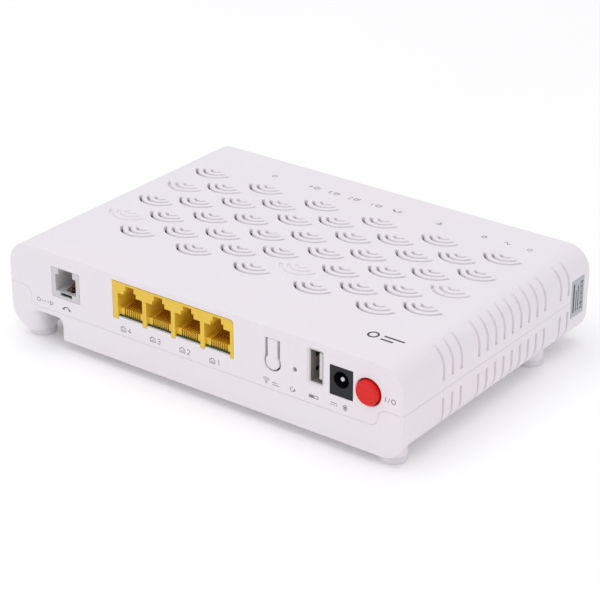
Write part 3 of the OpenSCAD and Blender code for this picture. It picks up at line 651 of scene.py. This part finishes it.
def cut_underside(shell):
    """Screw holes, wall keyholes, two rows of slots and a recess for the label."""
    holes = Solid()
    for x, d in BOARD_SCREWS:
        holes.prism("h", disc(x, d, 1.3, 24), [(8, 0), (19.2, 0)])
    for x, d in CASE_SCREWS:
        holes.prism("h", disc(x, d, 3, 40), from_below(10.6))
    combine(shell, holes)
    holes = Solid()
    for x, d in CASE_SCREWS:
        holes.prism("h", disc(x, d, 1.65, 24), [(10, 0), (14, 0)])
    for s in (-1, 1):
        holes.prism("h", keyhole(50 * s, 66, 4.2, 2.1, 8), from_below(6))
    for i in range(14):
        for d in (28, 62):
            holes.prism("h", block(-33.5 + 5 * i, -31.5 + 5 * i, d, d + 16, 0.6, 4), from_below(6))
    combine(shell, holes)
    recess = [(0.2, 0.15), (UNDER_H, 0.15), (1.35, 0), (1.5, 0)]
    combine(shell, Solid().prism("h", block(8, 72, 82, 112, 1), recess))


def make_bottom_shell():
    d_far = CASE_D - 0.5
    shell = case_loft(0, 0, 0, WALL, 0.5, 0.05).make("casing_lower")
    combine(shell, case_loft(0, UNDER_H, 0.8, d_far, 0.05, FAR_R), "UNION")
    combine(shell, upper_region(SEAM_GAP, SEAM_H - SEAM_GAP / 2))
    combine(shell, case_loft(WALL, UNDER_H, WALL, d_far - WALL, 0.3, 1.2))
    combine(shell, make_lip(d_far), "UNION")
    add_bay_and_posts(shell)
    cut_fibre_bay(shell)
    cut_underside(shell)
    combine(shell, side_grooves(15.7, UNDER_H + LOW_R, LOW_R, -1, 66))
    for groove in seam_groove():
        combine(shell, groove)
    combine(shell, side_label_pocket())
    tidy_mesh(shell, 0.002, 0.05)
    return finished(shell, "casing", "casing_white", ("bottom_shell",), sharp=40)


# ---- feet, controls and the parts that are softened copies ----


def make_foot_pads():
    """Round pads with a ring-shaped groove in their undersides."""
    low = -3.8
    profile = [(0.6, low), (3.0, low), (3.15, low + 0.3), (3.65, low + 0.3), (3.8, low),
               (4.75, low), (5.05, low + 0.1), (5.22, low + 0.3), (5.3, low + 0.6),
               (5.3, low + 2.5), (5.24, low + 2.58), (5.1, low + 2.6), (0.6, low + 2.6)]
    pads = Solid()
    for x, d in FOOT_AT:
        pads.turned("h", x, d, profile)
    return finished(pads.make("foot_discs"), "casing", "foot_white", ("foot_pads",))


def make_button():
    lift = -1.6
    profile = [(0.4, lift + 0.1), (2.2, lift + 0.08), (3.5, lift + 0.02), (3.95, lift), (4.25, lift + 0.07),
               (4.5, lift + 0.22), (4.67, lift + 0.45), (4.75, lift + 0.8), (4.75, 2.35), (6, 2.4), (6, 3.4),
               (4.75, 3.45), (4.75, 6), (0.4, 6)]
    button = Solid().turned("d", BUTTON_X, BUTTON_H, profile, 96).make("push_button")
    half = 1.55             # of the square socket for the switch's stem
    socket = block(BUTTON_X - half, BUTTON_X + half, BUTTON_H - half, BUTTON_H + half)
    combine(button, Solid().prism("d", socket, [(3.2, 0), (7, 0)]))
    return finished(button, "power_button", "button_red", ("power_button",))


def make_key():
    """The key's pad is dished for a fingertip."""
    key = Solid().prism("d", key_outline(3.05, 2.2, HINGE_H - 0.05),
                        [(-0.02, -0.3), (0.06, -0.12), (0.25, 0), (1.8, 0)]).make("press_key")
    dish_r, dish_deep = 9.0, 0.42
    dish = [(0.05, dish_deep)]
    for k in range(1, 19):
        a = math.radians(20 * k / 18)
        dish.append((dish_r * math.sin(a), dish_deep - dish_r + dish_r * math.cos(a)))
    combine(key, Solid().turned("d", KEY_X, KEY_H, dish))
    combine(key, Solid().prism("d", disc(KEY_X, KEY_H, 1.3, 32), [(1.5, 0), (3.1, 0), (3.3, -0.2)]), "UNION")
    return finished(key, "wlan_key", "casing_white", ("wlan_key",))


def make_side_label():
    film = Solid().prism("x", label_outline(0.2), [(HALF_W - LABEL_DEEP, 0), (HALF_W - PRINT_T, 0)])
    return finished(film.make("side_label_film"), "casing", "label_silver", ("side_label",))


make_top_cover()
make_bottom_shell()
make_foot_pads()
make_button()
make_key()
for node, slot, width in (
        ("ethernet_jack", "jack_yellow", 0.12), ("phone_jack", "jack_grey", 0.15),
        ("usb_shell", "shell_steel", 0.08), ("usb_tongue", "tongue_white", 0.12),
        ("power_jack", "jack_black", 0.2), ("fibre_adapter", "adapter_green", 0.2),
        ("power_jack_pin", "pin_nickel", 0.1), ("main_board", "board_green", 0.1),
        ("ethernet_contacts", "contact_gold", 0.06), ("phone_contacts", "contact_gold", 0.06),
        ("heat_sink", "sink_aluminium", 0.15), ("main_processor", "chip_black", 0.15),
        ("lan_transformers", "chip_black", 0.3), ("optical_shield", "shield_tin", 0.3),
        ("rating_label", "label_white", 0.04)):
    softened(node, slot, width)
make_side_label()


# ---- printing ----


class Print:
    """Thin strokes on a face; each stroke is a run of points with a width."""

    def __init__(self, face):
        self.solid, self.face = Solid(), face

    def stroke(self, points, width=0.26, closed=False):
        rings, n = [], len(points)
        for k, (x, y) in enumerate(points):
            before = points[k - 1] if k or closed else points[k]
            after = points[(k + 1) % n] if k < n - 1 or closed else points[k]
            ax, ay, bx, by = x - before[0], y - before[1], after[0] - x, after[1] - y
            a, b = math.hypot(ax, ay) or 1, math.hypot(bx, by) or 1
            ux, uy = ax / a + bx / b, ay / a + by / b
            size = math.hypot(ux, uy) or 1
            ux, uy = ux / size, uy / size
            straight = (ax / a * ux + ay / a * uy) if ax or ay else (bx / b * ux + by / b * uy)
            w = width / 2 / max(straight, 0.5)
            left, right = (x - uy * w, y + ux * w), (x + uy * w, y - ux * w)
            corners = ((left, 0), (right, 0), (right, 1), (left, 1))
            rings.append([self.face(*point, level) for point, level in corners])
        self.solid.loft(rings, closed)

    def ring(self, x, y, r, width=0.26):
        self.stroke(arc(x, y, r, 0, 360, 24)[:-1], width, True)

    def run(self, x, y, r, a0, a1, width=0.26):
        self.stroke(arc(x, y, r, a0, a1, 12), width)

    def bar(self, x0, y0, x1, y1):
        mid = (y0 + y1) / 2
        self.stroke([(x0, mid), (x1, mid)], y1 - y0)

    def digit(self, number, x, y, size=2):
        lines = {
            1: [[(0.1, 0.78), (0.35, 1), (0.35, 0)]],
            2: [[(0, 0.82), (0.14, 1), (0.46, 1), (0.6, 0.84), (0.6, 0.62), (0, 0), (0.62, 0)]],
            3: [[(0, 0.88), (0.15, 1), (0.45, 1), (0.6, 0.86), (0.6, 0.64), (0.44, 0.52), (0.2, 0.52)],
                [(0.44, 0.52), (0.6, 0.4), (0.6, 0.14), (0.45, 0), (0.15, 0), (0, 0.12)]],
            4: [[(0.46, 0), (0.46, 1), (0, 0.32), (0.66, 0.32)]],
        }[number]
        for line in lines:
            self.stroke([(x + u * size, y + v * size) for u, v in line])

    def make(self, name, slot, material):
        piece = finished(self.solid.make(name), "casing", slot, weighted=False)
        piece.data.materials[0] = material
        return piece


def on_port_face(x, h, level):
    return (x, SINK - PRINT_T * level, h)


def on_top(x, d, level):
    return (x, d, SKIN - SINK + (PRINT_T + SINK) * level)


def on_side_label(d, h, level):
    return (HALF_W - PRINT_T - SINK + (PRINT_T + SINK) * level, d, h)


def on_top_turned(cx, cd):
    """Read from the far side, so the strokes are turned half round about a centre."""
    return lambda x, y, level: on_top(cx - x, cd - y, level)


def socket_icon(ink, x, y):
    outline = ((0, 0), (0, 1.5), (0.7, 1.5), (0.7, 2), (1.7, 2), (1.7, 1.5), (2.4, 1.5), (2.4, 0))
    ink.stroke([(x + u, y + v) for u, v in outline], closed=True)
    for k in range(3):
        ink.stroke([(x + 0.7 + 0.5 * k, y + 0.3), (x + 0.7 + 0.5 * k, y + 0.9)], 0.2)


def waves_icon(ink, x, y):
    ink.ring(x, y + 0.25, 0.2, 0.3)
    for r in (0.9, 1.6, 2.3):
        ink.run(x, y, r, 50, 130)


def handset_icon(ink, x, y):
    ink.run(x, y, 1.7, 35, 145, 0.5)
    for x0 in (x - 2.1, x + 1):
        ink.bar(x0, y + 0.3, x0 + 1.1, y + 1.1)


def print_port_face():
    ink = Print(on_port_face)
    low, mid = 13.5, 14.5       # the foot and the middle of the row of marks
    # Fibre: a beam through a lens
    ink.ring(-78.4, mid, 0.8)
    for k in range(3):
        ink.stroke([(-77 + 1.5 * k, mid), (-76.1 + 1.5 * k, mid)])
    ink.stroke([(-72.4, 13.7), (-70.9, mid), (-72.4, 15.3)], closed=True)
    handset_icon(ink, -63.9, 13.3)
    for i, x in enumerate((-36.0, -21.5, -7.1, 7.2)):
        socket_icon(ink, x, low)
        ink.digit(4 - i, x + 3.6, low)
    # Wireless, with two short lines beside it
    waves_icon(ink, 33.4, 13.3)
    ink.stroke([(36.2, 13.6), (39.3, 13.6)])
    ink.stroke([(36.2, mid), (38.4, mid)])
    # Reset: an arrow that turns back
    ink.run(45.2, mid, 0.9, 70, 370)
    ink.stroke([(46.0, 15.0), (46.5, 14.2), (45.6, 14.1)])
    # Serial bus: a plug
    ink.bar(52.6, 13.9, 54.9, 15.1)
    ink.stroke([(54.9, 14.0), (56.6, 14.0), (56.6, 15.0), (54.9, 15.0)])
    # Power: direct current and a round socket
    ink.stroke([(62.2, 15.0), (65.0, 15.0)])
    for k in range(3):
        ink.stroke([(62.2 + 1.1 * k, 14.2), (62.8 + 1.1 * k, 14.2)])
    ink.ring(68.6, mid, 0.4, 0.5)
    ink.run(68.6, mid, 1.05, 45, 315)
    # On and off, beside the button
    ink.stroke([(85.6, 22.6), (85.6, 24.4)], 0.34)
    ink.stroke([(86.6, 22.5), (87.3, 24.5)], 0.2)
    ink.ring(88.9, 23.5, 0.85, 0.32)
    ink.make("port_face_print", "casing_white", PRINT_GREY)


def print_lamp_mark(i, x):
    """The mark for one lamp, at the far edge of the top."""
    ink = Print(on_top_turned(x, 111.7))
    if 1 <= i <= 4:
        socket_icon(ink, -2.6, -1)
        ink.digit(5 - i, 1, -1)
    elif i == 0:                # an open ring with a bar across
        ink.run(0, 0, 1, 40, 320)
        ink.stroke([(0, 0), (1.4, 0)])
    elif i == 5:
        handset_icon(ink, 0, -1.1)
    elif i == 6:
        waves_icon(ink, 0, -1.3)
    elif i == 7:                # a ring with a stroke through it
        ink.ring(0, 0, 0.95)
        ink.stroke([(-0.65, -0.65), (0.65, 0.65)])
    elif i == 8:                # a zigzag
        ink.stroke([(-1.6, 0), (-0.6, 0.9), (0.4, -0.9), (1.4, 0)])
    else:                       # an open ring with an upright bar
        ink.run(0, 0, 0.95, 120, 420)
        ink.stroke([(0, 0.1), (0, 1.3)])
    ink.make("lamp_mark_%d" % (i + 1), "casing_white", PRINT_GREY)


def print_side_label():
    """Three upright bars and a column of short ones."""
    ink = Print(on_side_label)
    low = 13.6
    for d, high, width in ((115.6, 25.6, 0.9), (117.4, 22.4, 0.5), (118.9, 24.2, 0.5)):
        ink.stroke([(d, low), (d, high)], width)
    for k, width in enumerate((0.5, 0.25, 0.7, 0.25, 0.4, 0.25, 0.6, 0.4, 0.25, 0.5, 0.25, 0.7)):
        ink.stroke([(120.4, 13.9 + k), (122.2, 13.9 + k)], width)
    ink.make("label_bars", "label_silver", PRINT_DARK)


def print_corner_mark():
    """A plain mark of a ring and two bars in the corner of the top."""
    ink = Print(on_top)
    ink.ring(68.4, 16.8, 1.9, 0.8)
    ink.bar(72.3, 17.6, 80.9, 18.5)
    ink.bar(72.3, 15.1, 77.6, 16.0)
    ink.make("corner_mark", "casing_white", PRINT_DARK)


print_port_face()
for i, x in enumerate(LED_X):
    print_lamp_mark(i, x)
print_side_label()
print_corner_mark()


# ---- floor, light and camera ----


def make_floor():
    size, steps = 3.0, 12
    row = steps + 1
    places = [size * (i / steps - 0.5) * 2 for i in range(row)]
    points = [(x, y, 0) for y in places for x in places]
    first = [j * row + i for j in range(steps) for i in range(steps)]
    mesh = bpy.data.meshes.new("floor")
    mesh.from_pydata(points, [], [(k, k + 1, k + row + 1, k + row) for k in first])
    floor = bpy.data.objects.new("floor", mesh)
    bpy.context.scene.collection.objects.link(floor)
    g = Graph("floor_paper")
    g.link(g.steps(g.noise(3, 2), [(0.3, linear(250, 250, 250)), (0.7, linear(253, 253, 253))]),
           g.shader.inputs["Base Color"])
    g.shader.inputs["Roughness"].default_value = 0.9
    g.shader.inputs["Emission Color"].default_value = (1, 1, 1, 1)
    g.shader.inputs["Emission Strength"].default_value = 0.09
    mesh.materials.append(g.material)


def area_light(name, place, aim, size, power):
    light = bpy.data.lights.new(name, "AREA")
    light.shape, light.size, light.energy = "DISK", size, power
    lamp = bpy.data.objects.new(name, light)
    lamp.location = place
    lamp.rotation_euler = (Vector(aim) - Vector(place)).to_track_quat("-Z", "Y").to_euler()
    bpy.context.scene.collection.objects.link(lamp)


def make_world():
    world = bpy.data.worlds.new("studio")
    world.use_nodes = True
    background = world.node_tree.nodes["Background"]
    background.inputs["Color"].default_value = (0.98, 0.98, 1.0, 1)
    background.inputs["Strength"].default_value = 0.66
    return world


def make_camera(aim, azimuth, elevation, distance, lens):
    """A camera that looks at a point from an azimuth and elevation in degrees."""
    turn, tilt = math.radians(azimuth), math.radians(elevation)
    back = Vector((math.sin(turn) * math.cos(tilt), -math.cos(turn) * math.cos(tilt), math.sin(tilt)))
    camera = bpy.data.objects.new("camera", bpy.data.cameras.new("camera"))
    camera.data.lens, camera.data.sensor_width = lens, 36
    camera.data.clip_start, camera.data.clip_end = 0.05, 20
    camera.location = Vector(aim) + back * distance
    camera.rotation_euler = (-back).to_track_quat("-Z", "Y").to_euler()
    bpy.context.scene.collection.objects.link(camera)
    return camera


make_floor()
area_light("overhead", (-0.1, -0.1, 1.5), (0, 0, 0), 1.8, 8.5)
area_light("front_left", (-0.9, -1.4, 0.9), (0, 0, 0.02), 1.2, 2)
area_light("right", (1.5, -0.3, 0.7), (0, 0, 0.02), 1.2, 0.7)
scene = bpy.context.scene
scene.world = make_world()
scene.view_settings.view_transform = "Standard"
scene.camera = make_camera((0.0055, -0.0063, 0.02), 36.915, 25.825, 0.815, 126.4)
